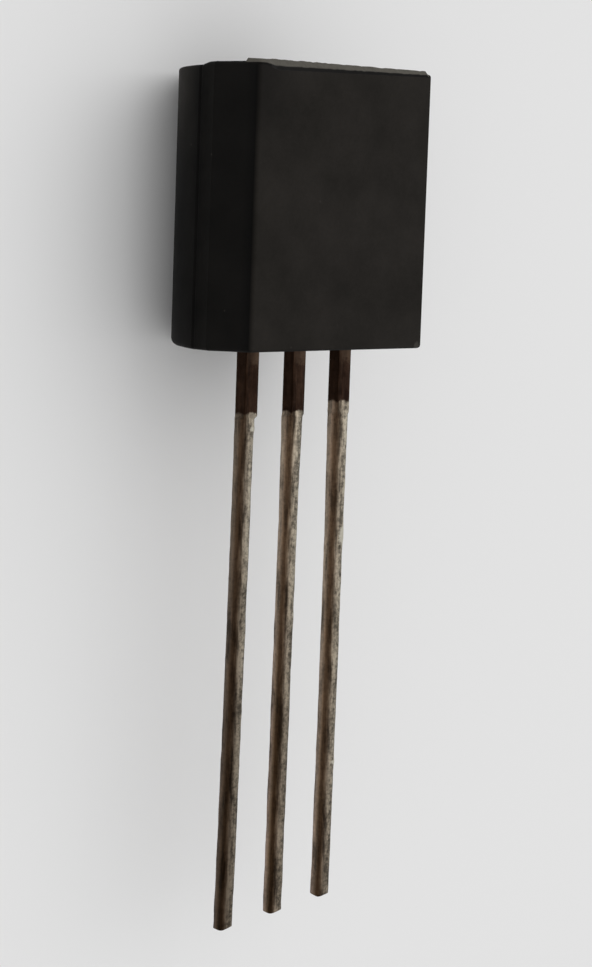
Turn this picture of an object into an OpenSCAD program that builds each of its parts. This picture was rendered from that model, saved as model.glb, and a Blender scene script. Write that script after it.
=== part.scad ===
// TO-92 transistor: a small moulded case with one flat face, on three leads stamped from one strip.
// It lies on its round back, flat face up, with the leads along -Y. All sizes are in millimetres.

/* [Case] */
// Width of the flat face
flat_w = 4.7; // [4.4:0.05:5.2]
// Length of the case along the leads, at the parting plane
case_l = 5.36; // [4.9:0.02:5.6]
// Distance from the flat face back to the parting plane, which is the middle of the strip
flat_depth = 1.15; // [1.05:0.05:1.4]
// How far the circle of the round back passes outside the side flats
back_relief = 0.02; // [0.01:0.01:0.1]
// Width of the narrow flat along the lowest line of the back
back_flat_w = 0.7; // [0.5:0.05:1]
// Draft of the side flats, either way from the parting plane, in degrees
mould_draft = 1.5; // [0.5:0.5:4]
// Draft of the leads' end, in front of the parting plane, in degrees
lead_end_draft = 2; // [0.5:0.5:5]
// Draft of the far end, behind the parting plane, in degrees
far_end_draft = 3.5; // [0.5:0.5:5]
// Draft of the other half of each end, in degrees
end_draft = 0.5; // [0.5:0.5:4]
// Length of the bevel on the flat face's end edge, along the case
bevel_l = 0.105; // [0.05:0.005:0.2]
// Depth of that bevel, into the case
bevel_d = 0.2; // [0.1:0.05:0.4]
// Diameter of the ejector pin's mark on the round back
mark_d = 1.1; // [0.6:0.1:1.6]
// Depth of the ejector pin's mark into that flat
mark_depth = 0.12; // [0.08:0.01:0.2]

/* [Leads] */
// Spacing of the leads
lead_pitch = 1.27; // [1.2:0.01:1.4]
// Thickness of the stamped strip
strip_t = 0.27; // [0.2:0.01:0.32]
// Width of a lead beside the case, as far as the sheared tie bar
shoulder_w = 0.35; // [0.32:0.01:0.46]
// Length of that wider stretch, outside the case
shoulder_l = 1.26; // [0.8:0.02:1.8]
// Width of the long tinned leg below it
leg_w = 0.33; // [0.26:0.01:0.35]
// Corner radius of the tinned leg
leg_r = 0.075; // [0.02:0.005:0.09]
// Length of the middle lead, from the case to its tip
lead_l = 11.17; // [6:0.01:16]
// How much longer each lead is than its right-hand neighbour, seen on the flat face
cut_step = 0.09; // [0:0.01:0.2]
// Lean of the middle leg towards -X, in degrees
leg_lean = 0.5; // [0:0.1:2]
// How much more the left leg leans, and the right leg less, in degrees
leg_splay = 0.35; // [0:0.05:1]
// Slope of the cut tip across the leg's width, in degrees
tip_slope_across = 10; // [0:1:30]
// Slope of the cut tip through the leg's thickness, in degrees
tip_slope_deep = 17; // [0:1:35]

/* [Inside the case] */
// Width of the collector's chip pad
pad_w = 1.4; // [1.1:0.05:1.5]
// Length of the chip pad
pad_l = 2.1; // [1.7:0.05:2.4]
// Distance from the leads' end of the case to the chip pad
pad_start = 1.75; // [1.5:0.05:2.1]
// Gap between the chip pad and the posts beside it
frame_gap = 0.25; // [0.2:0.01:0.35]
// How far a post reaches outside the middle of its lead
post_reach = 0.53; // [0.4:0.01:0.6]
// Length of a post
post_l = 1.35; // [1.1:0.05:1.5]
// Length of the taper between a lead and its post or pad
taper_l = 0.35; // [0.2:0.05:0.45]
// Radius of the locking notches in the leads inside the case
notch_r = 0.09; // [0.05:0.01:0.11]
// Distance from the leads' end of the case to the notches
notch_start = 0.75; // [0.5:0.05:0.9]
// Side of the square silicon chip
chip_w = 0.46; // [0.35:0.01:0.6]
// Thickness of the chip
chip_t = 0.18; // [0.12:0.01:0.22]
// Thickness of the solder under the chip
solder_t = 0.03; // [0.02:0.01:0.05]
// How far the solder spreads past the chip
solder_rim = 0.04; // [0.02:0.01:0.08]
// Distance of a bond from the middle of the chip
bond_x = 0.12; // [0.09:0.01:0.14]
// Diameter of the flattened ball at the chip end of a bond wire
ball_d = 0.09; // [0.07:0.01:0.11]
// Thickness of that ball
ball_t = 0.03; // [0.02:0.01:0.05]
// Diameter of the gold bond wire
wire_d = 0.03; // [0.025:0.005:0.04]
// Height of the wire's loop above the chip
loop_h = 0.26; // [0.2:0.01:0.32]
// Radius of the loop's two bends
loop_r = 0.12; // [0.08:0.01:0.15]

/* [Hidden] */

$fn = 96;
// How far a cutting or trimming shape passes what it cuts
over = 0.5;

// The case's widest half-width is at the parting plane, and its circle is centred there
draft_run = tan(mould_draft);
parting_hw = flat_w / 2 + flat_depth * draft_run;
back_r = parting_hw + back_relief;
back_depth = sqrt(back_r * back_r - back_flat_w * back_flat_w / 4);

// The lengths of the three leads, and the place of the origin midway along the whole part
left_lead_l = lead_l + cut_step;
right_lead_l = lead_l - cut_step;
seat_y = (left_lead_l - case_l) / 2;

// The strip's top face, and what is stacked on it under the flat face
strip_top = strip_t / 2;
solder_top = strip_top + solder_t;
chip_top = solder_top + chip_t;
chip_y = pad_start + pad_l / 2;

// The posts stand beside the chip pad, level with the chip
post_in = pad_w / 2 + frame_gap;
post_out = lead_pitch + post_reach;
post_start = chip_y - post_l / 2;
post_mid = (post_in + post_out) / 2;

// Puts a part that is built about the parting plane, from the leads' end of the case, in its place
module placed() {
    translate([0, seat_y, back_depth])
        children();
}

// Extrudes a profile drawn in X and Z along +Y, from y = 0
module along_y(length) {
    translate([0, length, 0])
        rotate([90, 0, 0])
            linear_extrude(length)
                children();
}

// Extrudes a profile drawn in Y and Z along X, about x = 0
module along_x(length) {
    translate([-length / 2, 0, 0])
        rotate([90, 0, 90])
            linear_extrude(length)
                children();
}

// ---- Case: black moulding compound, transfer-moulded round the strip ----

// The case seen along its leads: a round back with its narrow flat, a flat front and two drafted side flats
module end_profile() {
    low = -back_depth;
    intersection() {
        union() {
            circle(back_r);
            translate([-parting_hw, 0])
                square([2 * parting_hw, flat_depth]);
        }
        polygon([
            [-flat_w / 2, flat_depth],
            [flat_w / 2, flat_depth],
            [parting_hw, 0],
            [parting_hw + low * draft_run, low],
            [-parting_hw - low * draft_run, low],
            [-parting_hw, 0],
        ]);
    }
}

// The case seen from its side: both ends drafted, with the bevel on the flat face's end edge
module side_profile() {
    low = -back_r - over;
    bevel_z = flat_depth - bevel_d;
    front_end = case_l - flat_depth * tan(end_draft);
    polygon([
        [flat_depth * tan(lead_end_draft), flat_depth],
        [0, 0],
        [-low * tan(end_draft), low],
        [case_l + low * tan(far_end_draft), low],
        [case_l, 0],
        [case_l - bevel_z * tan(end_draft), bevel_z],
        [front_end - bevel_l, flat_depth],
    ]);
}

module case_envelope() {
    intersection() {
        translate([0, -over, 0])
            along_y(case_l + 2 * over)
                end_profile();
        along_x(2 * back_r + 2 * over)
            side_profile();
    }
}

// The round mark that the ejector pin leaves in the middle of the back
module ejector_mark() {
    translate([0, case_l / 2, -back_depth - over])
        cylinder(h = over + mark_depth, d = mark_d);
}

module case() {
    color([0.14, 0.14, 0.13])
        placed()
            difference() {
                case_envelope();
                ejector_mark();
                emitter_lead_shape();
                collector_lead_shape();
                base_lead_shape();
                solder_shape();
                chip_shape();
                bond_wire_shape(-1);
                bond_wire_shape(1);
            }
}

// ---- Leads: stamped strip, dip-tinned below the shoulders, then cut to length ----

// A flat piece of the strip, from its outline
module strip() {
    translate([0, 0, -strip_t / 2])
        linear_extrude(strip_t)
            children();
}

// The notches that lock a lead in the moulding, on both edges of its neck
module notches(x) {
    for (side = [-1, 1])
        translate([x + side * shoulder_w / 2, notch_start])
            circle(notch_r);
}

// The section of the tinned leg, a rectangle with round corners
module leg_section() {
    core_w = leg_w - 2 * leg_r;
    core_t = strip_t - 2 * leg_r;
    square([leg_w, core_t], center = true);
    square([core_w, strip_t], center = true);
    for (x = [-1, 1], z = [-1, 1])
        translate([x * core_w / 2, z * core_t / 2])
            circle(leg_r);
}

// A tinned leg that hangs from the origin along -Y, leaning by an angle, with its tip cut askew
module leg(length, lean) {
    root = strip_t / 2;
    rotate([0, 0, -lean])
        difference() {
            translate([0, -length, 0])
                along_y(length + root)
                    leg_section();
            translate([-leg_w / 2, -length, strip_top])
                rotate([tip_slope_deep, 0, tip_slope_across])
                    translate([-over, -2 * over, -2 * over])
                        cube([4 * over, 2 * over, 4 * over]);
        }
}

module leg_below(x, lead_length, lean) {
    translate([x, -shoulder_l, 0])
        leg(lead_length - shoulder_l, lean);
}

// The middle lead, which widens into the pad under the chip
module collector_lead_shape() {
    half = shoulder_w / 2;
    strip()
        difference() {
            polygon([
                [-half, -shoulder_l],
                [-half, pad_start - taper_l],
                [-pad_w / 2, pad_start],
                [-pad_w / 2, pad_start + pad_l],
                [pad_w / 2, pad_start + pad_l],
                [pad_w / 2, pad_start],
                [half, pad_start - taper_l],
                [half, -shoulder_l],
            ]);
            notches(0);
        }
    leg_below(0, lead_l, leg_lean);
}

// An outer lead, which widens into the post that its bond wire lands on; side is -1 or 1
module outer_lead_shape(side, length, lean) {
    half = shoulder_w / 2;
    strip()
        difference() {
            polygon([
                [side * (lead_pitch - half), -shoulder_l],
                [side * (lead_pitch - half), post_start - taper_l],
                [side * post_in, post_start],
                [side * post_in, post_start + post_l],
                [side * post_out, post_start + post_l],
                [side * post_out, post_start],
                [side * (lead_pitch + half), post_start - taper_l],
                [side * (lead_pitch + half), -shoulder_l],
            ]);
            notches(side * lead_pitch);
        }
    leg_below(side * lead_pitch, length, lean);
}

module emitter_lead_shape() {
    outer_lead_shape(-1, left_lead_l, leg_lean + leg_splay);
}

module base_lead_shape() {
    outer_lead_shape(1, right_lead_l, leg_lean - leg_splay);
}

module emitter_lead() {
    color([0.58, 0.55, 0.47])
        placed()
            emitter_lead_shape();
}

module collector_lead() {
    color([0.62, 0.59, 0.5])
        placed()
            collector_lead_shape();
}

module base_lead() {
    color([0.58, 0.55, 0.47])
        placed()
            base_lead_shape();
}

// ---- Chip: sawn silicon, soldered to the collector's pad ----

module solder_shape() {
    side = chip_w + 2 * solder_rim;
    translate([-side / 2, chip_y - side / 2, strip_top])
        cube([side, side, solder_t]);
}

module chip_shape() {
    translate([-chip_w / 2, chip_y - chip_w / 2, solder_top])
        cube([chip_w, chip_w, chip_t]);
}

module transistor_chip() {
    color([0.35, 0.37, 0.42])
        placed()
            chip_shape();
}

module chip_solder() {
    color([0.75, 0.75, 0.72])
        placed()
            solder_shape();
}

// ---- Bond wires: gold, from a ball on the chip over a flat loop down to the post ----

// A quarter bend of the wire in the XZ plane, from straight up to level towards +X
module wire_bend() {
    translate([loop_r, 0, 0])
        rotate([90, 0, 0])
            rotate([0, 0, 90])
                rotate_extrude(angle = 90)
                    translate([loop_r, 0])
                        circle(d = wire_d, $fn = 24);
}

// A straight stretch of the wire
module wire_run(length) {
    cylinder(h = length, d = wire_d, $fn = 24);
}

module bond_wire_shape(side) {
    loop_top = chip_top + loop_h;
    bend_z = loop_top - loop_r;
    rise_z = chip_top + ball_t;
    span = post_mid - bond_x;
    place_x = side * bond_x;
    translate([place_x, chip_y, 0])
        mirror([side < 0 ? 1 : 0, 0, 0]) {
            translate([0, 0, chip_top])
                cylinder(h = ball_t, d = ball_d);
            translate([0, 0, rise_z])
                wire_run(bend_z - rise_z);
            translate([0, 0, bend_z])
                wire_bend();
            translate([loop_r, 0, loop_top])
                rotate([0, 90, 0])
                    wire_run(span - 2 * loop_r);
            translate([span, 0, bend_z])
                mirror([1, 0, 0])
                    wire_bend();
            translate([span, 0, strip_top])
                wire_run(bend_z - strip_top);
        }
}

module emitter_bond_wire() {
    color([0.83, 0.66, 0.3])
        placed()
            bond_wire_shape(-1);
}

module base_bond_wire() {
    color([0.83, 0.66, 0.3])
        placed()
            bond_wire_shape(1);
}

case();
emitter_lead();
collector_lead();
base_lead();
transistor_chip();
chip_solder();
emitter_bond_wire();
base_bond_wire();
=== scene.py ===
import bmesh
import bpy
import math
from mathutils import Matrix, Vector, noise


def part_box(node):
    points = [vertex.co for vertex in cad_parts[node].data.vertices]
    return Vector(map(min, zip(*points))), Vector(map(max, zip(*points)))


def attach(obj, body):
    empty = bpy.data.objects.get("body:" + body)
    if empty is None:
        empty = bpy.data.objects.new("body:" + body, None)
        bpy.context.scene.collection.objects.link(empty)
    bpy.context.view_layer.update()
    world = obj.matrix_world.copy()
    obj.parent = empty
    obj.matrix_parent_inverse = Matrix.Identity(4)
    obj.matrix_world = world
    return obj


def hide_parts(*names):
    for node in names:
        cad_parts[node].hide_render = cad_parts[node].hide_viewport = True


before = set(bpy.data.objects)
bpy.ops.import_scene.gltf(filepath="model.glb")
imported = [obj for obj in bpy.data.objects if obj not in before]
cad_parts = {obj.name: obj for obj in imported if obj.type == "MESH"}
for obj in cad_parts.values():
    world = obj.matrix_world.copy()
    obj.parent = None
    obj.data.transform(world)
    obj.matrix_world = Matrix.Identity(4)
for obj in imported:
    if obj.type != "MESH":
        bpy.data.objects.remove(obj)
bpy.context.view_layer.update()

# ---- Leads: stamped strip ----
# Emitter, collector and base leads, pressed side by side from one strip of copper alloy, each with locking
# notches and a post or the chip's pad inside the case. The wide stretch below the case is left from the
# sheared tie bar; the leg below that was dipped in tin and nipped to length with one slanting cut.
MM = 0.001
case_low, case_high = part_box("case")
strip_low, strip_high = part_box("collector_lead")
seat_y = case_low.y
parting_z = (strip_low.z + strip_high.z) / 2
strip_half = (strip_high.z - strip_low.z) / 2
shoulder_half = 0.175 * MM
shoulder_length = 1.26 * MM
leg_half = 0.165 * MM
stamped_corner = 0.02 * MM
tinned_corner = 0.075 * MM
notch_radius = 0.09 * MM
notch_place = 0.75 * MM
notch_steps = 8
root_gap = 0.05 * MM
cut_reach = 1.0 * MM
tip_round = 0.08 * MM
tip_steps = 6
ring_step = 0.04 * MM
tin_edge = 0.15 * MM
lump_wrap = 0.25 * MM
lump_stretch = (1.0, 0.7, 1.0)
full_bead = 0.006 * MM
bare_cut_height = 0.05 * MM
lead_sharp = math.radians(50)

# For each lead, in millimetres and degrees: the middle of its shoulder, its strip's outline in the case as
# distance from the case's end, left edge and right edge, and its length. The leg's root stands a little off
# the shoulder's middle, leans and is bowed. The tin climbs past the shoulder, is thicker by some height for
# some way below it, goes dull towards the tip and is darker on one lead. The tip is cut askew, across the
# strip and through it. Beads of tin: how far below the case, how long, how proud.
leads = {
    "emitter_lead": {
        "x": -1.27,
        "outline": [(3.475, -1.80, -0.95), (2.125, -1.80, -0.95), (1.775, -1.445, -1.095)],
        "length": 11.27,
        "root": -0.041,
        "lean": 0.81,
        "bow": 0.016,
        "tin_climb": 0.03,
        "thick": (0.006, 1.2),
        "dulling": 1.2,
        "darker": 0.55,
        "cut": (9.0, 2.0),
        "beads": [(1.5, 0.06, 0.012)],
    },
    "collector_lead": {
        "x": 0.0,
        "outline": [(3.85, -0.70, 0.70), (1.75, -0.70, 0.70), (1.40, -0.175, 0.175)],
        "length": 11.17,
        "root": -0.023,
        "lean": 0.48,
        "bow": 0.004,
        "tin_climb": 0.03,
        "thick": (0.016, 1.7),
        "dulling": 1.5,
        "darker": 0.0,
        "cut": (9.0, 5.0),
        "beads": [(5.2, 0.1, 0.006)],
    },
    "base_lead": {
        "x": 1.27,
        "outline": [(3.475, 0.95, 1.80), (2.125, 0.95, 1.80), (1.775, 1.095, 1.445)],
        "length": 11.06,
        "root": -0.010,
        "lean": 0.16,
        "bow": 0.018,
        "tin_climb": 0.18,
        "thick": (0.014, 2.9),
        "dulling": 0.9,
        "darker": 0.0,
        "cut": (9.0, 10.0),
        "beads": [(3.72, 0.2, 0.014), (8.3, 0.05, 0.012)],
    },
}


def strip_edges(lead, y):
    """The left and right edges of a lead's strip at distance y from the case's end, less its notches."""
    middle = lead["x"] * MM
    knots = [(k * MM, left * MM, right * MM) for k, left, right in lead["outline"]]
    knots.append((-shoulder_length, middle - shoulder_half, middle + shoulder_half))
    for (y_in, left_in, right_in), (y_out, left_out, right_out) in zip(knots[:-1], knots[1:]):
        if y_out <= y <= y_in:
            share = (y_in - y) / (y_in - y_out)
            left = left_in + (left_out - left_in) * share
            right = right_in + (right_out - right_in) * share
            break
    reach = notch_radius**2 - (y - notch_place) ** 2
    notch = math.sqrt(reach) if reach > 0 else 0.0
    return left + notch, right - notch


def lead_stations(lead):
    """A lead's sections, inner end to tip: y, middle, half width, half thickness, corner, cut and bead."""
    top = lead["outline"][0][0] * MM
    inner = {top, *(k * MM for k, _, _ in lead["outline"])}
    for step in range(-notch_steps, notch_steps + 1):
        inner.add(notch_place + notch_radius * step / notch_steps)
    steps = round((top + shoulder_length) / (2 * ring_step))
    inner |= {top - (top + shoulder_length) * step / steps for step in range(steps + 1)}
    stations = []
    for y in sorted(inner, reverse=True):
        left, right = strip_edges(lead, max(y, -shoulder_length))
        stations.append((y, (left + right) / 2, (right - left) / 2, strip_half, stamped_corner, 0.0, 0.0))
    lean = math.tan(math.radians(lead["lean"]))
    extra, fade = (value * MM for value in lead["thick"])
    root, tip = -shoulder_length - root_gap, -lead["length"] * MM
    steps = round((root - tip) / ring_step)
    rings = [(root + (tip - root) * step / steps, 0.0) for step in range(steps)]
    for step in range(1, tip_steps + 1):
        angle = math.radians(90 * step / tip_steps)
        rings.append((tip + tip_round * (1 - math.sin(angle)), tip_round * (1 - math.cos(angle))))
    for y, inset in rings:
        down = -shoulder_length - y
        share = down / (-shoulder_length - tip)
        middle = (lead["x"] + lead["root"] + lead["bow"] * math.sin(math.pi * share)) * MM - down * lean
        # The sections slant more and more towards the tip's cut
        near = min(max((tip + cut_reach - y) / cut_reach, 0.0), 1.0)
        cut = near * near * (3 - 2 * near)
        swell = extra * max(1 - down / fade, 0.0) - inset
        bead = sum(
            proud * MM * math.exp(-(((-y / MM - place) / size) ** 2)) for place, size, proud in lead["beads"]
        )
        stations.append((y, middle, leg_half + swell, strip_half + swell, tinned_corner, cut, bead))
    return stations


def add(tree, kind, values=None, **settings):
    """Adds a node with its settings; values gives its inputs a number, a colour or another node's output."""
    made = tree.nodes.new(kind)
    for name, value in settings.items():
        setattr(made, name, value)
    for socket, value in (values or {}).items():
        if isinstance(value, bpy.types.NodeSocket):
            tree.links.new(value, made.inputs[socket])
        else:
            made.inputs[socket].default_value = value
    return made


def srgb(code):
    """A hex colour as linear red, green, blue and alpha."""
    parts = [int(code[start : start + 2], 16) / 255 for start in (1, 3, 5)]
    return [p / 12.92 if p <= 0.04045 else ((p + 0.055) / 1.055) ** 2.4 for p in parts] + [1.0]


def new_finish(name):
    """An empty material, its node tree, and the place on the piece in millimetres."""
    material = bpy.data.materials.new(name)
    material.use_nodes = True
    tree = material.node_tree
    tree.nodes.clear()
    spot = add(tree, "ShaderNodeTexCoord").outputs["Object"]
    return material, tree, add(tree, "ShaderNodeMapping", {"Vector": spot, "Scale": (1 / MM,) * 3}).outputs[0]


def put_in_scene(name, data):
    """A new object in the scene with this mesh, bmesh, lamp or camera."""
    if isinstance(data, bmesh.types.BMesh):
        form, data = data, bpy.data.meshes.new(name)
        form.to_mesh(data)
        form.free()
    made = bpy.data.objects.new(name, data)
    bpy.context.scene.collection.objects.link(made)
    return made


# The sweep: a square section with rounded corners follows the lead's line and takes its width, thickness and
# corner radius from it. Below the tin line the coat stands proud in low lumps, and the tip's cut is slanted.
section_sizes = ("half_width", "half_thickness", "corner", "cut", "bead")
sweep = bpy.data.node_groups.new("stamped_lead_sweep", "GeometryNodeTree")
sweep.interface.new_socket("Line", in_out="INPUT", socket_type="NodeSocketGeometry")
sweep_inputs = {
    "Section Cuts": 9,
    "Corner Share": 0.4,
    "Leg Half Width": leg_half,
    "Strip Half Thickness": strip_half,
    "Cut Slope Across": 0.17,
    "Cut Slope Through": 0.3,
    "Tin Line": 0.0,
    "Tin Lump Height": 0.008 * MM,
    "Tin Lumps per Metre": 3.2 / MM,
    "Leg Length": 10 * MM,
    "Dulling": 1.0,
    "Darker Coat": 0.0,
    "Seed": 4.0,
}
for name, value in sweep_inputs.items():
    kind = "NodeSocketInt" if isinstance(value, int) else "NodeSocketFloat"
    sweep.interface.new_socket(name, in_out="INPUT", socket_type=kind).default_value = value
sweep.interface.new_socket("Finish", in_out="INPUT", socket_type="NodeSocketMaterial")
sweep.interface.new_socket("Lead", in_out="OUTPUT", socket_type="NodeSocketGeometry")
given = add(sweep, "NodeGroupInput").outputs

here = add(sweep, "GeometryNodeInputPosition").outputs[0]
line = add(
    sweep,
    "GeometryNodeStoreNamedAttribute",
    {"Geometry": given["Line"], "Name": "spine", "Value": here},
    data_type="FLOAT_VECTOR",
).outputs[0]
line = add(sweep, "GeometryNodeMeshToCurve", {"Mesh": line}).outputs[0]
square = add(sweep, "GeometryNodeCurvePrimitiveQuadrilateral", {"Width": 2.0, "Height": 2.0}).outputs[0]
square = add(sweep, "GeometryNodeSubdivideCurve", {"Curve": square, "Cuts": given["Section Cuts"]}).outputs[0]
square = add(
    sweep,
    "GeometryNodeStoreNamedAttribute",
    {"Geometry": square, "Name": "section", "Value": here},
    data_type="FLOAT_VECTOR",
).outputs[0]
skin = add(
    sweep, "GeometryNodeCurveToMesh", {"Curve": line, "Profile Curve": square, "Fill Caps": True}
).outputs[0]

section, spine = (
    add(sweep, "GeometryNodeInputNamedAttribute", {"Name": name}, data_type="FLOAT_VECTOR").outputs[0]
    for name in ("section", "spine")
)
measure = {
    name: add(sweep, "GeometryNodeInputNamedAttribute", {"Name": name}, data_type="FLOAT").outputs[0]
    for name in section_sizes
}
# Each point of the square is split into a part on its flats and a part round its corner
flat_share = add(sweep, "ShaderNodeMath", {0: 1.0, 1: given["Corner Share"]}, operation="SUBTRACT").outputs[0]
lowest = add(sweep, "ShaderNodeMath", {0: flat_share, 1: -1.0}, operation="MULTIPLY").outputs[0]
core = add(sweep, "ShaderNodeVectorMath", {0: section, 1: flat_share}, operation="MINIMUM").outputs[0]
core = add(sweep, "ShaderNodeVectorMath", {0: core, 1: lowest}, operation="MAXIMUM").outputs[0]
outward = add(sweep, "ShaderNodeVectorMath", {0: section, 1: core}, operation="SUBTRACT").outputs[0]
outward = add(sweep, "ShaderNodeVectorMath", {0: outward}, operation="NORMALIZE").outputs[0]
core = add(sweep, "ShaderNodeVectorMath", {0: core, 1: flat_share}, operation="DIVIDE").outputs[0]
flat_size = add(
    sweep, "ShaderNodeCombineXYZ", {"X": measure["half_width"], "Y": measure["half_thickness"]}
).outputs[0]
flat_size = add(
    sweep, "ShaderNodeVectorMath", {0: flat_size, 1: measure["corner"]}, operation="SUBTRACT"
).outputs[0]
flat_part = add(sweep, "ShaderNodeVectorMath", {0: core, 1: flat_size}, operation="MULTIPLY").outputs[0]

# The coat begins at the tin line. Its lumps run round the lead and are a little longer than wide. Their noise
# strays by about a quarter from its middle, 0.5, and is stretched to their full height.
spine_y = add(sweep, "ShaderNodeSeparateXYZ", {0: spine}).outputs["Y"]
below = add(sweep, "ShaderNodeMath", {0: given["Tin Line"], 1: spine_y}, operation="SUBTRACT").outputs[0]
coated = add(sweep, "ShaderNodeMapRange", {"Value": below, "From Min": 0.0, "From Max": tin_edge}).outputs[0]
stretched = add(sweep, "ShaderNodeVectorMath", {0: spine, 1: lump_stretch}, operation="MULTIPLY").outputs[0]
round_the_lead = add(
    sweep,
    "ShaderNodeVectorMath",
    {0: outward, 1: (lump_wrap,) * 3, 2: stretched},
    operation="MULTIPLY_ADD",
).outputs[0]
lumps = add(
    sweep,
    "ShaderNodeTexNoise",
    {"Vector": round_the_lead, "W": given["Seed"], "Scale": given["Tin Lumps per Metre"], "Detail": 3.0},
    noise_dimensions="4D",
).outputs[0]
lumps = add(sweep, "ShaderNodeMath", {0: lumps, 1: 0.5}, operation="SUBTRACT").outputs[0]
for factor in (given["Tin Lump Height"], 4.0, coated):
    lumps = add(sweep, "ShaderNodeMath", {0: lumps, 1: factor}, operation="MULTIPLY").outputs[0]
# A bead sits on the front corner that faces away from the leg's lean
left_to_right, back_to_front, _ = add(sweep, "ShaderNodeSeparateXYZ", {0: section}).outputs
front_right = add(sweep, "ShaderNodeMath", {0: left_to_right, 1: back_to_front}, operation="ADD").outputs[0]
front_right = add(
    sweep, "ShaderNodeMapRange", {"Value": front_right, "From Min": 0.6, "From Max": 1.9}
).outputs[0]
bead = add(sweep, "ShaderNodeMath", {0: front_right, 1: measure["bead"]}, operation="MULTIPLY").outputs[0]
lumps = add(sweep, "ShaderNodeMath", {0: lumps, 1: bead}, operation="ADD").outputs[0]
round_size = add(sweep, "ShaderNodeMath", {0: measure["corner"], 1: lumps}, operation="ADD").outputs[0]
round_part = add(
    sweep, "ShaderNodeVectorMath", {0: outward, "Scale": round_size}, operation="SCALE"
).outputs[0]
offset = add(sweep, "ShaderNodeVectorMath", {0: flat_part, 1: round_part}, operation="ADD").outputs[0]
# The tip's cut is lowest at the leg's left front corner
aside, forward, _ = add(sweep, "ShaderNodeSeparateXYZ", {0: offset}).outputs
across = add(sweep, "ShaderNodeMath", {0: aside, 1: given["Leg Half Width"]}, operation="ADD").outputs[0]
across = add(
    sweep, "ShaderNodeMath", {0: across, 1: given["Cut Slope Across"]}, operation="MULTIPLY"
).outputs[0]
deep = add(
    sweep, "ShaderNodeMath", {0: given["Strip Half Thickness"], 1: forward}, operation="SUBTRACT"
).outputs[0]
deep = add(
    sweep, "ShaderNodeMath", {0: deep, 1: given["Cut Slope Through"], 2: across}, operation="MULTIPLY_ADD"
).outputs[0]
rise = add(sweep, "ShaderNodeMath", {0: deep, 1: measure["cut"]}, operation="MULTIPLY").outputs[0]
offset = add(sweep, "ShaderNodeCombineXYZ", {"X": aside, "Y": rise, "Z": forward}).outputs[0]
place = add(sweep, "ShaderNodeVectorMath", {0: spine, 1: offset}, operation="ADD").outputs[0]
skin = add(sweep, "GeometryNodeSetPosition", {"Geometry": skin, "Position": place}).outputs[0]

# What the finish needs to know of each point: how far below the tin line it is in millimetres, whether it is
# on the nipped end, how near a corner, where from left to right and from back to front, whether on a sheared
# side or a rolled face, how dull and how much darker its tin is, and whether it is on a bead
size = add(sweep, "ShaderNodeVectorMath", {0: section}, operation="ABSOLUTE").outputs[0]
size = add(sweep, "ShaderNodeSeparateXYZ", {0: size}).outputs
near_corner = add(sweep, "ShaderNodeMath", {0: size["X"], 1: size["Y"]}, operation="MINIMUM").outputs[0]
bead_share = add(sweep, "ShaderNodeMath", {0: bead, 1: full_bead}, operation="DIVIDE").outputs[0]
side = add(sweep, "ShaderNodeMath", {0: size["X"], 1: size["Y"]}, operation="SUBTRACT").outputs[0]
side = add(sweep, "ShaderNodeMapRange", {"Value": side, "From Min": -0.1, "From Max": 0.1}).outputs[0]
below_mm = add(sweep, "ShaderNodeMath", {0: below, 1: 1 / MM}, operation="MULTIPLY").outputs[0]
dull = add(
    sweep,
    "ShaderNodeMapRange",
    {"Value": below, "From Max": given["Leg Length"], "To Max": given["Dulling"]},
).outputs[0]
to_tip = add(sweep, "ShaderNodeMath", {0: given["Leg Length"], 1: below}, operation="SUBTRACT").outputs[0]
bare_cut = add(
    sweep, "ShaderNodeMapRange", {"Value": to_tip, "From Min": bare_cut_height, "From Max": 0.0}
).outputs[0]
facts = {
    "below_tin_line": below_mm,
    "bare_cut": bare_cut,
    "near_corner": near_corner,
    "left_to_right": left_to_right,
    "back_to_front": back_to_front,
    "sheared_side": side,
    "dulling": dull,
    "darker_coat": given["Darker Coat"],
    "on_bead": bead_share,
}
for name, value in facts.items():
    skin = add(
        sweep,
        "GeometryNodeStoreNamedAttribute",
        {"Geometry": skin, "Name": name, "Value": value},
        data_type="FLOAT",
    ).outputs[0]
skin = add(sweep, "GeometryNodeRealizeInstances", {"Geometry": skin}).outputs[0]
skin = add(sweep, "GeometryNodeSetMaterial", {"Geometry": skin, "Material": given["Finish"]}).outputs[0]
add(sweep, "NodeGroupOutput", {0: skin})

# Hot-dip tinned copper alloy, aged. The tin is a warm grey, mottled, streaked where it is thin, with dark
# pinholes. It drew thin at the front corner, where the strip's red-brown shows through. Its side is painted
# darker than its face and its corner darker still, as painted shade and the painted dark reflection of a
# crowned face; towards the tips all of it has gone dull. Beads of it are pale. Above the tin line the bare
# alloy has oxidised to a dark red-brown, paler beside the case where its resin bled along the strip, with
# the same painted shade on its side and corner.
tinned_alloy, finish, in_mm = new_finish("aged_hot_dip_tin_on_copper_alloy")
known = {name: add(finish, "ShaderNodeAttribute", attribute_name=name).outputs["Fac"] for name in facts}
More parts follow.
